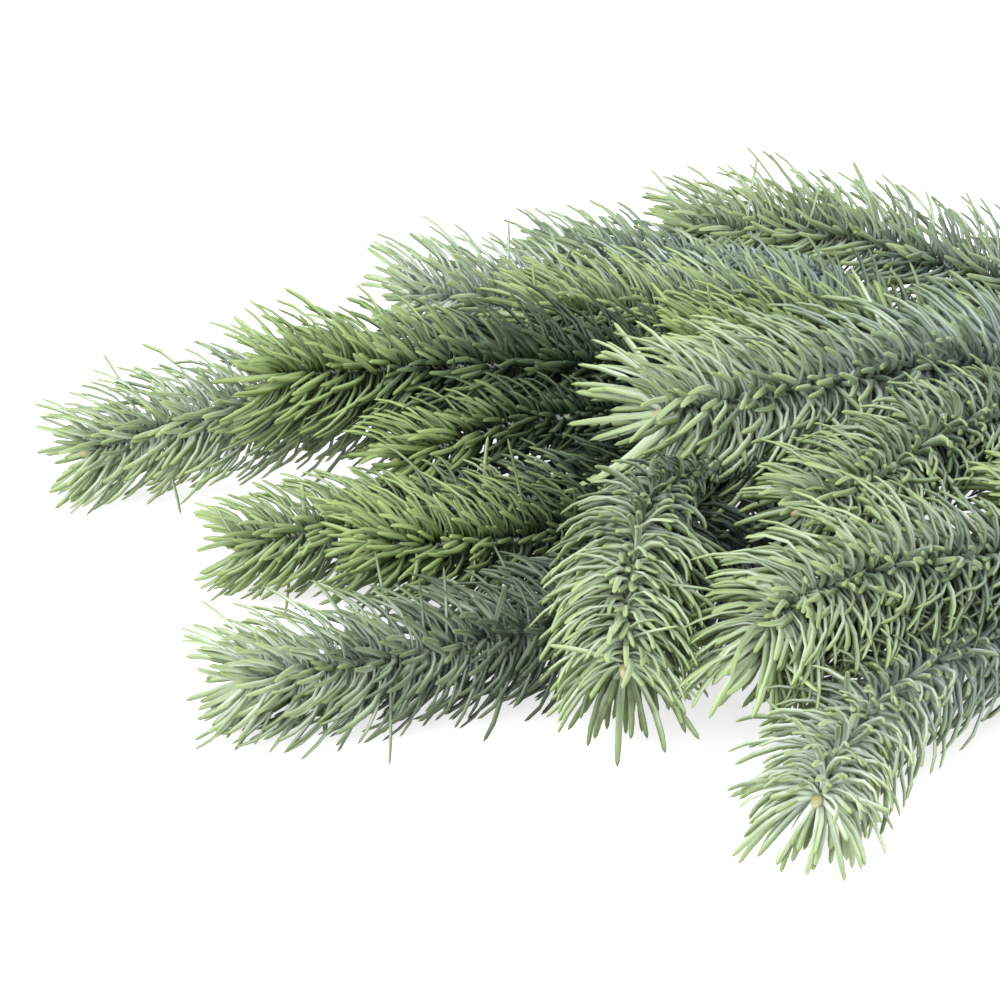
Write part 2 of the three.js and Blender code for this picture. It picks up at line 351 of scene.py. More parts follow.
def mesh_of(name, layers, material_of_layer):
    """One mesh from layers of repeated shapes. Each layer is a shape, its copies' points, its
    copies' cells in the bake chart, and its values for each point."""
    points, corners, starts, counts, charts, slots = [], [], [], [], [], []
    values = {key: [] for key in layers[0]["values"]}
    point_base, corner_base = 0, 0
    for layer, slot in zip(layers, material_of_layer):
        shape, placed = layer["shape"], layer["points"]
        copies = len(placed)
        steps = np.arange(copies)[:, None]
        size = len(shape.points)
        points.append(placed.reshape(-1, 3))
        corners.append((shape.corners[None, :] + steps * size + point_base).ravel())
        starts.append((shape.starts[None, :] + steps * len(shape.corners) + corner_base).ravel())
        counts.append(np.tile(shape.counts, copies))
        cells = layer["cells"]
        charts.append((shape.chart[None] * cells[:, None, 2:] + cells[:, None, :2]).reshape(-1, 2))
        slots.append(np.full(copies * len(shape.starts), slot))
        for key, column in values.items():
            column.append(np.broadcast_to(layer["values"][key], placed.shape[:2]).ravel())
        point_base += copies * size
        corner_base += copies * len(shape.corners)
    mesh = bpy.data.meshes.new(name)
    all_points, all_corners = np.concatenate(points), np.concatenate(corners)
    mesh.vertices.add(len(all_points))
    mesh.vertices.foreach_set("co", all_points.ravel())
    mesh.loops.add(len(all_corners))
    mesh.loops.foreach_set("vertex_index", all_corners.astype(np.int32))
    all_starts = np.concatenate(starts)
    mesh.polygons.add(len(all_starts))
    mesh.polygons.foreach_set("loop_start", all_starts.astype(np.int32))
    mesh.polygons.foreach_set("loop_total", np.concatenate(counts).astype(np.int32))
    mesh.polygons.foreach_set("use_smooth", np.ones(len(all_starts), bool))
    mesh.polygons.foreach_set("material_index", np.concatenate(slots).astype(np.int32))
    mesh.uv_layers.new(name="OFBake").data.foreach_set("uv", np.concatenate(charts).ravel())
    for key, column in values.items():
        attribute = mesh.attributes.new(key, "FLOAT", "POINT")
        attribute.data.foreach_set("value", np.concatenate(column).astype(np.float32))
    mesh.update(calc_edges=True)
    mesh.validate()
    normals = np.zeros(len(mesh.vertices) * 3, np.float32)
    mesh.vertex_normals.foreach_get("vector", normals)
    mesh.attributes.new("up", "FLOAT", "POINT").data.foreach_set("value", normals[2::3].copy())
    return mesh


def chart_cells(count, columns, top, bottom=0.0):
    """Cells of a grid in the bake chart between two heights, as corner and size."""
    index = np.arange(count)
    width, height = 1 / columns, (top - bottom) / math.ceil(count / columns)
    corner = np.column_stack([(index % columns) * width, bottom + (index // columns) * height])
    inset = (width * CELL_MARGIN, height * CELL_MARGIN)
    size = (width * (1 - 2 * CELL_MARGIN), height * (1 - 2 * CELL_MARGIN))
    return np.column_stack([corner + inset, np.full((count, 2), size)])


def piece_of(name, mesh, materials):
    made = bpy.data.objects.new(name, mesh)
    bpy.context.scene.collection.objects.link(made)
    for material in materials:
        mesh.materials.append(material)
    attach(made, "root")
    return made


# Materials.


class Node:
    """A node output that takes part in Python expressions."""

    def __init__(self, tree, socket):
        self.tree = tree
        self.socket = socket

    def maths(self, operation, first, second):
        node = self.tree.nodes.new("ShaderNodeMath")
        node.operation = operation
        for slot, value in zip(node.inputs, (first, second)):
            connect(self.tree, slot, value)
        return Node(self.tree, node.outputs[0])

    def __add__(self, other):
        return self.maths("ADD", self, other)

    def __sub__(self, other):
        return self.maths("SUBTRACT", self, other)

    def __rsub__(self, other):
        return self.maths("SUBTRACT", other, self)

    def __mul__(self, other):
        return self.maths("MULTIPLY", self, other)

    __radd__ = __add__
    __rmul__ = __mul__

    def between(self, low, high):
        """0 up to low, 1 from high, and smooth between them."""
        return Maker(self.tree).node(
            "ShaderNodeMapRange",
            {"interpolation_type": "SMOOTHSTEP"},
            {"Value": self, "From Min": low, "From Max": high},
        )


def connect(tree, slot, value):
    if isinstance(value, Node):
        tree.links.new(value.socket, slot)
    else:
        slot.default_value = (*value, 1) if slot.type == "RGBA" else value


class Maker:
    """Makes a material's nodes."""

    def __init__(self, tree):
        self.tree = tree

    def node(self, kind, settings=None, inputs=None, output=0):
        made = self.tree.nodes.new(kind)
        for key, value in (settings or {}).items():
            setattr(made, key, value)
        for key, value in (inputs or {}).items():
            connect(self.tree, made.inputs[key], value)
        return Node(self.tree, made.outputs[output])

    def value(self, name):
        return self.node("ShaderNodeAttribute", {"attribute_name": name}, output="Fac")

    def place(self):
        return self.node("ShaderNodeTexCoord", output="Object")

    def noise(self, scale, detail=3.0, roughness=0.55, stretched=None):
        vector = self.place()
        if stretched:
            vector = self.node("ShaderNodeMapping", {}, {"Vector": vector, "Scale": stretched})
        inputs = {"Vector": vector, "Scale": scale, "Detail": detail, "Roughness": roughness}
        return self.node("ShaderNodeTexNoise", {}, inputs)

    def mix(self, first, second, share):
        made = self.tree.nodes.new("ShaderNodeMix")
        made.data_type = "RGBA"
        connect(self.tree, made.inputs["Factor"], share)
        connect(self.tree, made.inputs[6], first)
        connect(self.tree, made.inputs[7], second)
        return Node(self.tree, made.outputs[2])

    def bump(self, height, strength, distance):
        return self.node("ShaderNodeBump", {}, {"Height": height, "Strength": strength, "Distance": distance})


def new_material(name):
    material = bpy.data.materials.new(name)
    material.use_nodes = True
    material.node_tree.nodes.clear()
    return material, Maker(material.node_tree)


def finish_material(make, colour, roughness, others):
    inputs = {"Base Color": colour, "Roughness": roughness, **others}
    shader = make.node("ShaderNodeBsdfPrincipled", {}, inputs)
    surface = make.tree.nodes.new("ShaderNodeOutputMaterial")
    make.tree.links.new(shader.socket, surface.inputs["Surface"])


def needle_material(colours, shoot):
    """Green needles: bluer where the shoot is old, yellower at its tip and at each needle's tip, with
    painted shade, near black or dark yellow-green, where others stand over them, at shaded bases, on
    their undersides and in their grooves, and with frost where they are open to the sky, partly
    painted light that lifts shaded shoots."""
    material, make = new_material("needle")
    frost_and_painted_light, yellow, base_shade = shoot["frost_and_painted_light"], shoot["yellow"], shoot["base_shade"]
    along, age, tone, up, sky, across, outer, below = (
        make.value(key) for key in ("along", "age", "tone", "up", "sky", "across", "outer", "below")
    )
    rim = across.maths("ABSOLUTE", across, 0)
    lengthwise = make.node(
        "ShaderNodeCombineXYZ",
        {},
        {"X": across * 1.6 + tone * 50, "Y": outer * 1.6, "Z": along * 1.2 + age * 40},
    )
    streaks = make.node(
        "ShaderNodeTexNoise", {}, {"Vector": lengthwise, "Scale": 1.6, "Detail": 3, "Roughness": 0.6}
    )
    patches = make.noise(260, 4, 0.6)
    broad = make.noise(45, 2, 0.5)
    young = (age + (tone - 0.5) * 0.4 + (broad - 0.5) * 0.8 + (yellow - 0.5) * 0.5).between(0.2, 0.95)
    colour = make.mix(colours.old_green, colours.young_green, young)
    colour = make.mix(colour, colours.tip_yellow, along.between(0.5, 1.05) * (0.15 + 0.6 * yellow))
    # Painted shade: darker streaks down the middle of each needle's width, in its groove, away from its rims.
    colour = make.mix(colour, colours.shade, streaks.between(0.45, 0.75) * (1 - rim) * 0.6)
    # Painted shade: dark yellow-green on faces that point down and on a shoot's lower needles, by the shoot's
    # share for it.
    under = below * (1 - along * 0.3) * shoot["shade_below"]
    olive_shade = ((0.1 - up) * 1.2 + under * 1.3).between(0.0, 1.0) * (0.65 + 0.3 * yellow)
    colour = make.mix(colour, colours.olive_shade, olive_shade)
    # Painted shade at a shoot's base, over the share of its twig that the shoot gives for it.
    inner = 1 - (age + (broad - 0.5) * 0.4).between(0.55 * base_shade, 1.08 * base_shade + 0.02)
    # Painted shade where needles stand under others, away from the open sky; there is less towards a shoot's
    # tip and on shoots with more frost, where painted light lifts it.
    closed = 1 - (sky + along * 0.12 + age * age * 0.45 + 0.35 * frost_and_painted_light).between(0.2, 0.85)
    dull = (1 - tone).between(0.6, 1.0) * 0.3
    # All the painted shade together, with some needles darker at random, mixed towards the near-black shaded
    # green.
    cover = 1 - (1 - inner * 0.9) * (1 - closed) * (1 - under * 0.7) * (1 - dull)
    colour = make.mix(colour, colours.shade, cover * 0.9)
    patchy = (patches - 0.5) * 0.9 + (streaks - 0.5) * 1.2
    near_twig = 1 - along.between(0.0, 0.55)
    # Frost on faces that point up and on parts open to the sky. Near the twig and on the frostiest shoots it
    # is partly painted light, which brightens needles that lie in shade.
    top = (up * 0.5 + sky + (0.25 + near_twig * 0.5) * frost_and_painted_light + rim * 0.3 + patchy).between(0.1, 1.0)
    ends = 1 - along.between(0.5, 1.0) * 0.7
    # How thick the frost lies: more on the rims, and near the twig partly painted light.
    crust_and_painted_light = 0.3 + 0.85 * rim + 0.4 * near_twig * frost_and_painted_light
    frost = top * ends * crust_and_painted_light * (1 - cover * 0.75) * (0.1 + 0.8 * frost_and_painted_light) * (0.8 + (tone - 0.5) * 0.5)
    frost_colour = make.mix(colours.frost_blue, colours.frost, young)
    colour = make.mix(colour, frost_colour, frost)
    grain = make.noise(1400, 3, 0.6)
    roughness = 0.5 + frost * 0.3 + (grain - 0.5) * 0.12
    relief = make.bump(grain + patches * 0.6 + streaks, 0.3, 0.0003)
    finish_material(make, colour, roughness, {"Normal": relief, "Specular IOR Level": 0.35})
    return material


def twig_material(colours):
    """The twig under the needles: dull green-brown, dusted with frost."""
    material, make = new_material("twig")
    fine = make.noise(700, 4, 0.65)
    dust = (make.value("up") * 0.5 + fine).between(0.35, 0.85)
    colour = make.mix(colours.twig, colours.frost, dust * 0.45)
    finish_material(make, colour, 0.85, {"Normal": make.bump(fine, 0.6, 0.0006)})
    return material


def bud_material(colours):
    material, make = new_material("bud")
    fine = make.noise(900, 2, 0.5)
    colour = make.mix(colours.bud, colours.frost, fine.between(0.45, 0.8) * 0.5)
    finish_material(make, colour, 0.6, {"Normal": make.bump(fine, 0.3, 0.0003)})
    return material


def bark_material(colours):
    """Brown bark, streaked along the stem, green-grey in places and dusted on top."""
    material, make = new_material("bark")
    streaks = make.noise(160, 5, 0.65, stretched=(0.25, 1, 1))
    fine = make.noise(900, 4, 0.6)
    blotches = make.noise(40, 3, 0.5)
    colour = make.mix(colours.bark_dark, colours.bark_light, streaks.between(0.35, 0.68))
    colour = make.mix(colour, colours.twig, blotches.between(0.5, 0.75) * 0.6)
    dust = (make.value("up") * 0.45 + fine * 0.6 + blotches * 0.4).between(0.55, 0.95)
    colour = make.mix(colour, colours.frost, dust * 0.45)
    relief = make.bump(streaks + fine * 0.4, 0.8, 0.0009)
    finish_material(make, colour, 0.78 + fine * 0.15, {"Normal": relief})
    return material


def floor_material(colours):
    material, make = new_material("table")
    fine = make.noise(30, 2, 0.5)
    colour = make.mix(colours.table, (1, 1, 1), fine * 0.1)
    glow = {"Emission Color": (1, 1, 1), "Emission Strength": 0.7}
    finish_material(make, colour, 0.7, {"Specular IOR Level": 0.2, **glow})
    return material


# Needles.

CHUNK = 200  # places that are measured at once


def nearest(points, places):
    """The distance from each point to the nearest of some places."""
    shape = points.shape[:-1]
    flat = points.reshape(-1, 1, 3)
    best = np.full(len(flat), np.inf)
    for chunk in np.array_split(places, max(1, len(places) // CHUNK)):
        best = np.minimum(best, np.linalg.norm(flat - chunk[None], axis=-1).min(axis=1))
    return best.reshape(shape)


NEEDLE_PROFILE = [(0, 0.85), (0.07, 0.74), (0.25, 0.95), (0.55, 1), (0.8, 0.95), (0.95, 0.7), (1, 0.3)]
INNER_PROFILE = [(0.0, 0.8), (0.4, 1.0), (0.9, 0.8), (1.0, 0.2)]
NEEDLE_SIDES = 6
GROOVE_DEPTH = 0.5
FLATNESS = 0.95
THINNEST, THICKER = 0.88, 0.24  # the thinnest needle's width, and how much more the thickest has
BEND_STEPS = 24
NEEDLE_ROOT = 0.7  # share of the twig's radius at which needles start
FIRST_NEEDLE = 5 * MM  # from the start of the twig
TIP_ZONE = 26 * MM  # part of the twig where needles close over its tip
BASE_ZONE = 34 * MM  # part of the twig where needles stand back at its base
THIN_ZONE = 0.3  # share of the twig over which needles grow from thin to full
STRAY_SWING = (-8, 25)  # degrees by which a stray needle bends
INNER_LENGTHS = (0.5, 0.75)
INNER_OPENINGS = (0.7, 1.0)
INNER_THINNING = 0.65  # share of the short needles that is missing at a shoot's tip
INNER_PHASE = 2.0  # turn of the short needles' spiral from that of the long ones
BRUSH_PHASE = 1.1  # turn of the underside needles' spiral
INNER_SHADE = 0.15  # how much less open the short needles count as
BRUSH_SPREAD = math.radians(28)  # how much straighter out the underside needles stand
LOOSE_ROOM, FIRM_ROOM = 0.4, 0.25  # room that a shoot holds at its base, and what its tip adds
MOST_SQUEEZE = 1.2  # the most that a neighbour with more room pushes needles back
STEM_ROOM = 4 * MM  # between a needle's tip and a bare stem
SHARED_BASE = 12  # millimetres of each shoot where its neighbours' needles may cross it
BOX_MARGIN = 0.5 * MM  # how far a needle may reach past the solids' box
TABLE_ROOM = 1.6 * MM  # between the table and a needle's centre line, where it can be had
TABLE_TOUCH = 0.6 * MM  # between the table and a needle's centre line, at least
ROOM_TRIES = 9
SHORTER, FLATTER = 0.92, 0.89  # what a crowded needle keeps at each try
TOP_SIDE = np.array((0, -0.65, 0.76))  # the side of the shoots where needles are short and hooked

TWIG_RADIUS = 1.7 * MM
TWIG_SIDES = 8
TWIG_RINGS = 40
BUD_PROFILE = [(0, 0.7), (0.15, 0.95), (0.4, 1), (0.7, 0.72), (0.9, 0.36), (1, 0.1)]
BUD_RADIUS = 1.7 * MM
BUD_LENGTH = 4 * MM
BUD_SUNK = 0.5 * MM  # how far the bud starts inside the twig


def needle_shape():
    """A flat rod with a blunt end and a groove along its outer side."""
    made = rod("needle shape", NEEDLE_SIDES, NEEDLE_PROFILE, pointed=True)
    for vertex in made.data.vertices:
        vertex.select = vertex.co.y < -0.1 and abs(vertex.co.x) < 0.01
    bpy.ops.object.mode_set(mode="EDIT")
    bpy.ops.transform.resize(value=(1, 1 - GROOVE_DEPTH, 1), center_override=(0, 0, 0))
    bpy.ops.object.mode_set(mode="OBJECT")
    return Shape(made)


def ease(values, low, high):
    """0 up to low, 1 from high, and smooth between them."""
    share = np.clip((values - low) / (high - low), 0, 1)
    return share * share * (3 - 2 * share)


def outward(rail, where, turn):
    """The directions straight out from a limb, at places along it and turns around it."""
    side, over = rail.at(where)[2:]
    return np.cos(turn)[:, None] * side + np.sin(turn)[:, None] * over


def bent_needles(rail, grown):
    """Centre lines of needles that leave the twig at one angle and end at another."""
    place, ahead = rail.at(grown["start"])[:2]
    out = outward(rail, grown["start"], grown["turn"])
    across = np.cross(ahead, out)
    share = np.linspace(0, 1, BEND_STEPS + 1)
    hook = (1 - share) ** grown["hook"][:, None]
    opening, closing, flick, lean = (grown[key][:, None] for key in ("opening", "closing", "flick", "lean"))
    angle = closing + (opening - closing) * hook + flick * share**2
    direction = unit(
        np.cos(angle)[..., None] * ahead[:, None]
        + np.sin(angle)[..., None] * out[:, None]
        + (lean * share)[..., None] * across[:, None]
    )
    step = grown["length"] / BEND_STEPS
    moved = (direction[:, 1:] + direction[:, :-1]) / 2 * step[:, None, None]
    line = np.concatenate([np.zeros((len(place), 1, 3)), np.cumsum(moved, axis=1)], axis=1)
    return line + (place + out * TWIG_RADIUS * NEEDLE_ROOT)[:, None], direction, across


def crowding(name, rail, start, line):
    """Which needles reach into a neighbour's room, a stem or the table, or past the solids' box.
    Near the base, where shoots meet, needles may mix."""
    tips = line[:, [BEND_STEPS // 2, BEND_STEPS]]
    own = nearest(tips, rail.points)
    crowd = np.zeros(len(line), bool)
    firm = ease(start, 0.2 * rail.length, 0.6 * rail.length)[:, None]
    for other, its_rail in SHOOT_RAILS.items():
        if other != name and other not in SHOOTS[name]["over"]:
            share = (LOOSE_ROOM + FIRM_ROOM * firm) * SHOOTS[other]["room"] / SHOOTS[name]["room"]
            share = np.minimum(share, MOST_SQUEEZE)
            crowd |= (nearest(tips, its_rail.points[SHARED_BASE:]) < own * share).any(axis=1)
    for its_rail in STEM_RAILS.values():
        close = (nearest(tips, its_rail.points) < STEM_ROOM).any(axis=1)
        crowd |= close & (start > SHARED_BASE * MM)
    crowd |= (line > BOX_TOP + BOX_MARGIN).any(axis=(1, 2))
    crowd |= (line < BOX_LOW - BOX_MARGIN).any(axis=(1, 2))
    return crowd | (line[..., 2].min(axis=1) < TABLE_ROOM)


def grow(rail, sizes, shoot, phase, draw):
    """Where each needle of a shoot starts and how it is bent. They stand closer at the tip. Those
    on the top side are short and stay upright, and look like hooks from above."""
    reach = shoot["reach"]
    pitch = sizes.needle_pitch / sizes.needles_per_whorl
    count = int((rail.length - FIRST_NEEDLE) / pitch)
    along = (np.arange(count) + draw.uniform(0.1, 0.7, count)) / count
    start = FIRST_NEEDLE + (rail.length - FIRST_NEEDLE) * along * (1.35 - 0.35 * along)
    turn = np.arange(count) * GOLDEN_ANGLE + phase + draw.normal(0, 0.12, count)
    out = outward(rail, start, turn)
    top = ease(out @ TOP_SIDE, 0.25, 0.95)
    near_tip = ease(start, rail.length - TIP_ZONE, rail.length)
    near_base = 1 - ease(start, 0, BASE_ZONE)
    full = ease(start / rail.length, shoot["thin_to"] - THIN_ZONE, shoot["thin_to"])
    length = sizes.needle_length * reach * draw.normal(1, 0.11, count).clip(0.72, 1.25)
    length *= 1 + 0.16 * ease(-out @ TOP_SIDE, 0.2, 0.9)
    length *= 1 - 0.14 * near_tip - 0.12 * near_base - 0.28 * top * (1 - near_tip)
    length *= 1 - shoot["thin_base"] * (1 - full)
    opening = 95 - 22 * near_tip**1.5 + 8 * top
    closing = 18 + 2 * near_tip + 12 * near_base + 18 * top * (1 - near_tip)
    grown = {
        "start": start,
        "turn": turn,
        "length": length,
        "opening": np.radians(opening + draw.normal(0, 5, count)),
        "closing": np.radians(closing + draw.normal(0, 6, count)),
        "hook": draw.normal(1.2, 0.2, count).clip(0.8, 1.7),
        "flick": np.radians(draw.normal(0, 6, count)),
        "lean": draw.normal(0, 0.1, count) * (1 + 3 * top),
        "roll": draw.normal(0, 0.15, count),
        "twist": draw.normal(0, 0.3, count),
        "tone": draw.uniform(0, 1, count),
        "age": start / rail.length,
        "width": (1 - 0.1 * top) * (0.6 + 0.4 * reach),
    }
    stray = draw.uniform(0, 1, count) < sizes.stray_share
    swing = np.radians(draw.uniform(*STRAY_SWING, stray.sum()))
    grown["closing"][stray] = grown["opening"][stray] - swing
    grown["lean"][stray] += draw.normal(0, 0.35, stray.sum())
    return grown


def add_strays(grown, shoot):
    """Turn single needles into the long strays that stand out of a shoot."""
    for share, turn, opening, closing, length in shoot["strays"]:
        one = np.abs(grown["age"] - share).argmin()
        grown["length"][one] = length * MM
        angles = {"turn": turn, "opening": opening, "closing": closing, "flick": 0, "lean": 0}
        for key, angle in angles.items():
            grown[key][one] = math.radians(angle)


def grow_inner(rail, sizes, shoot, draw):
    """Shorter needles that fill the shoot between the long ones."""
    grown = grow(rail, sizes, shoot, INNER_PHASE, draw)
    wanted = sizes.inner_share * (1 - INNER_THINNING * grown["age"])
    some = draw.uniform(0, 1, len(wanted)) < wanted
    grown = only(grown, some)
    grown["length"] = grown["length"] * draw.uniform(*INNER_LENGTHS, some.sum())
    grown["opening"] = grown["opening"] * draw.uniform(*INNER_OPENINGS, some.sum())
    return grown


def grow_brush(rail, sizes, shoot, draw):
    """More needles under a shoot, which stand straighter out and fill the room above the table."""
    grown = grow(rail, sizes, shoot, BRUSH_PHASE, draw)
    some = draw.uniform(0, 1, len(grown["start"])) < shoot["brush"]
    under = outward(rail, grown["start"], grown["turn"])[:, 2] < -0.1
    grown = only(grown, some & under)
    grown["closing"] = grown["closing"] + BRUSH_SPREAD
    return grown


def only(grown, which):
    return {key: values[which] for key, values in grown.items()}


def together(first, second):
    return {key: np.concatenate([first[key], second[key]]) for key in first}


def make_room(name, rail, grown):
    """Shorten and flatten the needles that are crowded, for a set number of tries or until none is,
    then leave out those that dip too near the table.
    """
    for _ in range(ROOM_TRIES):
        crowded = crowding(name, rail, grown["start"], bent_needles(rail, grown)[0])
        if not crowded.any():
            break
        grown["length"][crowded] *= SHORTER
        for key in ("opening", "closing", "flick"):
            grown[key][crowded] *= FLATTER
    line = bent_needles(rail, grown)[0]
    return only(grown, line[..., 2].min(axis=1) > TABLE_TOUCH)


class Openness:
    """How open to the sky places are, from how many needles stand over them."""

    CELL = 2.5 * MM
    SCREEN = 0.5  # how much light a needle's sample holds back in its cell

    def __init__(self, places):
        self.low = places.min(axis=0) - 2 * self.CELL
        size = np.ceil((places.max(axis=0) + 2 * self.CELL - self.low) / self.CELL).astype(int)
        filled = np.zeros(size)
        np.add.at(filled, tuple(((places - self.low) / self.CELL).astype(int).T), 1)
        self.sky = np.zeros(size)
        ways = [(x, y) for x in (-1, 0, 1) for y in (-1, 0, 1)]
        for way in ways:
            passed = np.zeros(size[:2])
            for layer in reversed(range(size[2])):
                self.sky[:, :, layer] += np.exp(-self.SCREEN * passed) / len(ways)
                passed = np.roll(passed + filled[:, :, layer], way, axis=(0, 1))

    def at(self, places):
        step = (places - self.low) / self.CELL - 0.5
        base = np.floor(step).astype(int)
        part = step - base
        total = np.zeros(places.shape[:-1])
        for corner in np.ndindex(2, 2, 2):
            weight = np.prod(np.where(corner, part, 1 - part), axis=-1)
            index = np.clip(base + corner, 0, np.array(self.sky.shape) - 1)
            total += weight * self.sky[index[..., 0], index[..., 1], index[..., 2]]
        return total


def needles_of(rail, grown, openness, sizes, shape):
    """All needles of a shoot: their points, and the values that colour them."""
    line, direction, across = bent_needles(rail, grown)
    below = ease(-outward(rail, grown["start"], grown["turn"])[:, 2], 0.0, 0.8)
    sky = openness.at(line + np.array((0, 0, 1.5 * MM)))
    share = shape.points[:, 2]
    step = np.clip(share * BEND_STEPS, 0, BEND_STEPS)
    low = np.minimum(step.astype(int), BEND_STEPS - 1)
    part = (step - low)[None, :, None]
    centre = line[:, low] * (1 - part) + line[:, low + 1] * part
    heading = unit(direction[:, low] * (1 - part) + direction[:, low + 1] * part)
    across = across[:, None]
    flat_way = unit(across - heading * (across * heading).sum(-1, keepdims=True))
    inner_way = np.cross(heading, flat_way)
    roll = (grown["roll"][:, None] + grown["twist"][:, None] * share)[..., None]
    width_way = np.cos(roll) * flat_way + np.sin(roll) * inner_way
    thick_way = np.cos(roll) * inner_way - np.sin(roll) * flat_way
    half = sizes.needle_thickness / 2 * (THINNEST + THICKER * grown["tone"]) * grown["width"]
    wide = shape.points[None, :, 0] * half[:, None]
    deep = shape.points[None, :, 1] * half[:, None] * FLATNESS
    points = centre + wide[..., None] * width_way + deep[..., None] * thick_way
    part = part[..., 0]
    values = {
        "along": share,
        "age": grown["age"][:, None],
        "tone": grown["tone"][:, None],
        "sky": sky[:, low] * (1 - part) + sky[:, low + 1] * part,
        "across": shape.points[:, 0],
        "outer": -shape.points[:, 1],
        "below": below[:, None],
    }
    return points, values


def rod_along(rail, shape, begins, ends, radius_at):
    """A unit rod bent along a rail, as one copy's points."""
    share = shape.points[:, 2]
    place, _, side, over = rail.at(begins + (ends - begins) * share)
    around = shape.points[:, :1] * side + shape.points[:, 1:2] * over
    return (place + around * radius_at(share)[:, None])[None]


def twig_radius(share):
    return TWIG_RADIUS * (1.0 - 0.45 * share)


def bud_radius(share):
    return np.full(len(share), BUD_RADIUS)


# Bare stems.

BARK_SIDES = 14
RING_STEP = 1.6 * MM
ROUGHNESS = 0.02  # how much the bark's radius varies
PEG_PROFILE = [(0, 1), (0.5, 0.8), (1, 0.35)]
PEG_SIZE = 0.75 * MM
PEG_PITCH = 1.5 * MM  # length of stem that carries one peg
PEG_SUNK = 0.4 * MM  # how far a peg starts inside the bark


def ringed_trunk(rail, radii, draw):
    """A stem's shape and its points, round and slightly rough, and never below the table."""
    rings = max(24, int(rail.length / RING_STEP))
    profile = [(k / rings, 1) for k in range(rings + 1)]
    trunk = Shape(rod("stem shape", BARK_SIDES, profile, pointed=False))
    ripple = draw.normal(0, ROUGHNESS, len(trunk.points))

    def radius_at(share):
        return (radii[0] + (radii[1] - radii[0]) * share) * (0.97 + ripple)

    points = rod_along(rail, trunk, 0, rail.length, radius_at)
    points[..., 2] = np.maximum(points[..., 2], 0)
    return trunk, points


def leaf_pegs(rail, radii, peg):
    """The small pegs that needles grew from, in a spiral around a bare stem."""
    count = int(rail.length / PEG_PITCH)
    where = np.linspace(3 * MM, rail.length - 2 * MM, count)
    out = outward(rail, where, np.arange(count) * GOLDEN_ANGLE)
    place, ahead = rail.at(where)[:2]
    radius = radii[0] + (radii[1] - radii[0]) * where / rail.length
    heading = unit(out + 0.9 * ahead)
    width_way = np.cross(ahead, out)
    thick_way = np.cross(heading, width_way)
    local = peg.points[None] * PEG_SIZE
    pegs = (
        (place + out * (radius[:, None] - PEG_SUNK))[:, None]
        + local[..., :1] * width_way[:, None]
        + local[..., 1:2] * thick_way[:, None]
        + local[..., 2:] * 2 * heading[:, None]
    )
    return pegs[pegs[..., 2].min(axis=1) > 0.2 * MM]


# Sizes and colours that a user would change.


def length_property(name, description, default):
    return bpy.props.FloatProperty(
        name=name, description=description, default=default, min=0,
        subtype="DISTANCE", unit="LENGTH", precision=4,
    )


def share_property(name, description, default):
    return bpy.props.FloatProperty(
        name=name, description=description, default=default, min=0, max=1, subtype="FACTOR"
    )


def colour_property(name, description, default):
    return bpy.props.FloatVectorProperty(
        name=name, description=description, default=default, size=3, min=0, max=1, subtype="COLOR"
    )


class SpruceSizes(bpy.types.PropertyGroup):
    """Sizes and counts of the needles, and the seed of the random draws."""

    needle_length: length_property("Needle length", "Length of a full-grown needle along its bend", 28.5 * MM)
    needle_thickness: length_property("Needle thickness", "Width of a needle at its middle", 2.15 * MM)
    needle_pitch: length_property("Whorl pitch", "Length of twig that carries one turn of needles", 4.2 * MM)
    needles_per_whorl: bpy.props.IntProperty(
        name="Needles per turn", description="Needles that share one pitch of the twig", default=13, min=3
    )
    inner_share: share_property("Inner needles", "Short needles in a shoot, as a share of the long ones", 1.0)
    stray_share: share_property("Stray needles", "Share of needles that stick out of the shoot", 0.025)
    seed: bpy.props.IntProperty(name="Seed", description="Start of the random draws", default=11, min=0)


class SpruceColours(bpy.types.PropertyGroup):
    """Base colours of the branch and of the table."""

    young_green: colour_property("Young green", "Needles near a shoot's tip", (0.212, 0.307, 0.092))
    old_green: colour_property("Old green", "Needles near a shoot's base", (0.044, 0.09, 0.066))
    tip_yellow: colour_property("Needle tips", "Tips of the needles", (0.235, 0.3, 0.105))
    # Painted shade: the colour of the needles' undersides, and the near-black green of needles that others
    # stand over.
    olive_shade: colour_property("Undersides", "Undersides of the needles", (0.098, 0.145, 0.02))
    shade: colour_property("Shaded green", "Needles that others cover", (0.004, 0.016, 0.002))
    frost: colour_property("Frost", "Pale dusting on what is open to the sky", (0.555, 0.627, 0.535))
    frost_blue: colour_property("Blue frost", "Dusting on the older needles", (0.416, 0.503, 0.48))
    twig: colour_property("Twig", "Twig under the needles", (0.085, 0.09, 0.05))
    bud: colour_property("Bud", "Buds at the shoots' ends", (0.33, 0.31, 0.14))
    bark_dark: colour_property("Dark bark", "Grooves of the bark", (0.06, 0.045, 0.03))
    bark_light: colour_property("Light bark", "Ridges of the bark", (0.19, 0.145, 0.09))
    table: colour_property("Table", "Surface that the branch lies on", (0.5, 0.5, 0.5))


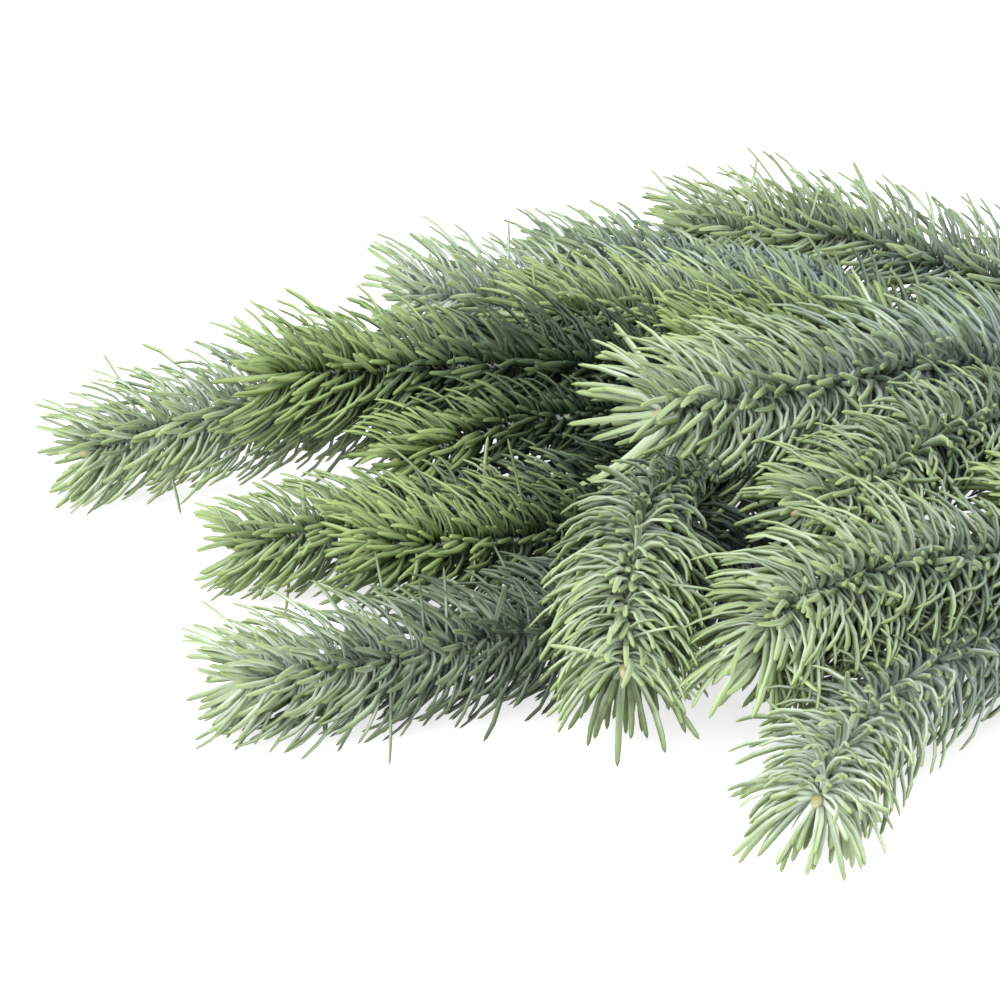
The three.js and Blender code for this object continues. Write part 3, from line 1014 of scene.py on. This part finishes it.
class SPRUCE_OT_shoots(bpy.types.Operator):
    """Grow every needled shoot on its twig, in place of its plain solid"""

    bl_idname = "spruce.shoots"
    bl_label = "Needled Shoots"

    def execute(self, context):
        sizes = context.scene.spruce_sizes
        self.colours = context.scene.spruce_colours
        self.needle = needle_shape()
        self.inner = Shape(rod("inner needle shape", 5, INNER_PROFILE, pointed=True))
        rings = [(k / TWIG_RINGS, 1) for k in range(TWIG_RINGS + 1)]
        self.twig = Shape(rod("twig shape", TWIG_SIDES, rings, pointed=False))
        self.bud = Shape(rod("bud shape", 10, BUD_PROFILE, pointed=True))
        self.twig_finish = twig_material(self.colours)
        self.bud_finish = bud_material(self.colours)
        grown, filling = {}, {}
        for number, (name, shoot) in enumerate(SHOOTS.items()):
            draw = np.random.default_rng(sizes.seed + number)
            rail = SHOOT_RAILS[name]
            needles = grow(rail, sizes, shoot, 0, draw)
            add_strays(needles, shoot)
            grown[name] = make_room(name, rail, needles)
            filling[name] = make_room(name, rail, grow_inner(rail, sizes, shoot, draw))
            brush = make_room(name, rail, grow_brush(rail, sizes, shoot, draw))
            grown[name] = together(grown[name], brush)
        lines = [bent_needles(SHOOT_RAILS[name], needles)[0] for name, needles in grown.items()]
        openness = Openness(np.concatenate(lines).reshape(-1, 3))
        for name in SHOOTS:
            self.add_shoot(name, grown[name], filling[name], openness, sizes)
        return {"FINISHED"}

    def add_shoot(self, name, grown, filling, openness, sizes):
        rail = SHOOT_RAILS[name]
        points, values = needles_of(rail, grown, openness, sizes, self.needle)
        inner_points, inner_values = needles_of(rail, filling, openness, sizes, self.inner)
        inner_values["sky"] = inner_values["sky"] - INNER_SHADE
        twig_points = rod_along(rail, self.twig, 0, rail.length, twig_radius)
        bud_points = rod_along(
            rail, self.bud, rail.length - BUD_SUNK, rail.length + BUD_LENGTH, bud_radius
        )
        plain = {"along": 0.0, "age": 0.5, "tone": 0.5, "across": 0.0, "outer": 0.0, "below": 0.0}
        twig_values = {**plain, "sky": openness.at(twig_points)}
        bud_values = {**plain, "sky": openness.at(bud_points)}
        layers = [
            layer_of(self.needle, points, values, chart_cells(len(points), 24, 1, 0.3)),
            layer_of(self.inner, inner_points, inner_values, chart_cells(len(inner_points), 32, 0.29, 0.1)),
            layer_of(self.twig, twig_points, twig_values, np.array([[0.002, 0.002, 0.9, 0.09]])),
            layer_of(self.bud, bud_points, bud_values, np.array([[0.91, 0.005, 0.085, 0.085]])),
        ]
        mesh = mesh_of(name, layers, (0, 0, 1, 2))
        finish = needle_material(self.colours, SHOOTS[name])
        made = piece_of("needled_" + name, mesh, [finish, self.twig_finish, self.bud_finish])
        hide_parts(name)


class SPRUCE_OT_stems(bpy.types.Operator):
    """Model the bare stems with their bark and leaf pegs, in place of their plain solids"""

    bl_idname = "spruce.stems"
    bl_label = "Woody Stems"

    def execute(self, context):
        finish = bark_material(context.scene.spruce_colours)
        draw = np.random.default_rng(context.scene.spruce_sizes.seed + 100)
        peg = Shape(rod("peg shape", 5, PEG_PROFILE, pointed=True))
        for name, stem in STEMS.items():
            rail = STEM_RAILS[name]
            radii = np.array(stem.get("radii", SIDE_STEM_RADII)) * MM
            trunk, points = ringed_trunk(rail, radii, draw)
            pegs = leaf_pegs(rail, radii, peg)
            layers = [
                layer_of(trunk, points, {}, np.array([[0.002, 0.32, 0.996, 0.676]])),
                layer_of(peg, pegs, {}, chart_cells(len(pegs), 24, 0.3)),
            ]
            mesh = mesh_of(name, layers, (0, 0))
            made = piece_of("bark_" + name, mesh, [finish])
            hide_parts(name)
        return {"FINISHED"}


# Where the photograph was taken from, and the white studio around it.
ELEVATION = math.radians(28)
DISTANCE = 0.95
AIM = (0, 69, 45)
PHOTO_LENS = 114  # lens for a 36 mm wide sensor, from the photograph's framing
SKY_STRENGTH = 1.45
LIGHT_AIM = (0, 0, 0.03)


class SPRUCE_OT_stage(bpy.types.Operator):
    """Set out the pale table, the soft light and the camera at the photograph's angle"""

    bl_idname = "spruce.stage"
    bl_label = "Table, Light and Camera"

    def execute(self, context):
        colours = context.scene.spruce_colours
        deselect_all()
        bpy.ops.mesh.primitive_plane_add(size=12)
        floor = context.object
        floor.name = "table"
        floor.data.materials.append(floor_material(colours))
        self.add_camera(context)
        self.add_lights(context)
        return {"FINISHED"}

    def add_camera(self, context):
        back = Vector((0, -math.cos(ELEVATION), math.sin(ELEVATION)))
        place = Vector(in_frame(AIM)) + back * DISTANCE
        bpy.ops.object.camera_add(location=place, rotation=(math.pi / 2 - ELEVATION, 0, 0))
        camera = context.object
        camera.data.sensor_width = 36
        camera.data.lens = PHOTO_LENS
        camera.data.clip_start = 0.01
        context.scene.camera = camera

    def add_lights(self, context):
        world = bpy.data.worlds.new("white studio")
        context.scene.world = world
        world.use_nodes = True
        sky = world.node_tree.nodes["Background"].inputs
        sky["Color"].default_value = (1, 1, 1, 1)
        sky["Strength"].default_value = SKY_STRENGTH
        self.area_light("soft box above", (-0.4, -0.7, 0.95), 1.2, 14)
        self.area_light("soft box left", (-0.9, -0.5, 0.6), 0.8, 6)
        context.scene.view_settings.view_transform = "Standard"

    def area_light(self, name, place, size, power):
        towards = Vector(LIGHT_AIM) - Vector(place)
        rotation = towards.to_track_quat("-Z", "Y").to_euler()
        bpy.ops.object.light_add(type="AREA", location=place, rotation=rotation)
        light = bpy.context.object
        light.name = name
        light.data.size = size
        light.data.energy = power


class SPRUCE_PT_branch(bpy.types.Panel):
    """Lists the branch's pieces, sizes and colours"""

    bl_idname = "SPRUCE_PT_branch"
    bl_label = "Spruce Branch"
    bl_space_type = "VIEW_3D"
    bl_region_type = "UI"
    bl_category = "Spruce"

    def draw(self, context):
        for operator in PIECES:
            self.layout.operator(operator.bl_idname)
        for group in (context.scene.spruce_sizes, context.scene.spruce_colours):
            for key in group.__annotations__:
                self.layout.prop(group, key)


PIECES = (SPRUCE_OT_stems, SPRUCE_OT_shoots, SPRUCE_OT_stage)
CLASSES = (SpruceSizes, SpruceColours, *PIECES, SPRUCE_PT_branch)


def register():
    for cls in CLASSES:
        bpy.utils.register_class(cls)
    bpy.types.Scene.spruce_sizes = bpy.props.PointerProperty(type=SpruceSizes)
    bpy.types.Scene.spruce_colours = bpy.props.PointerProperty(type=SpruceColours)


def unregister():
    del bpy.types.Scene.spruce_colours
    del bpy.types.Scene.spruce_sizes
    for cls in reversed(CLASSES):
        bpy.utils.unregister_class(cls)


def main():
    register()
    bpy.ops.spruce.stage()
    bpy.ops.spruce.stems()
    bpy.ops.spruce.shoots()


if __name__ == "__main__":
    main()
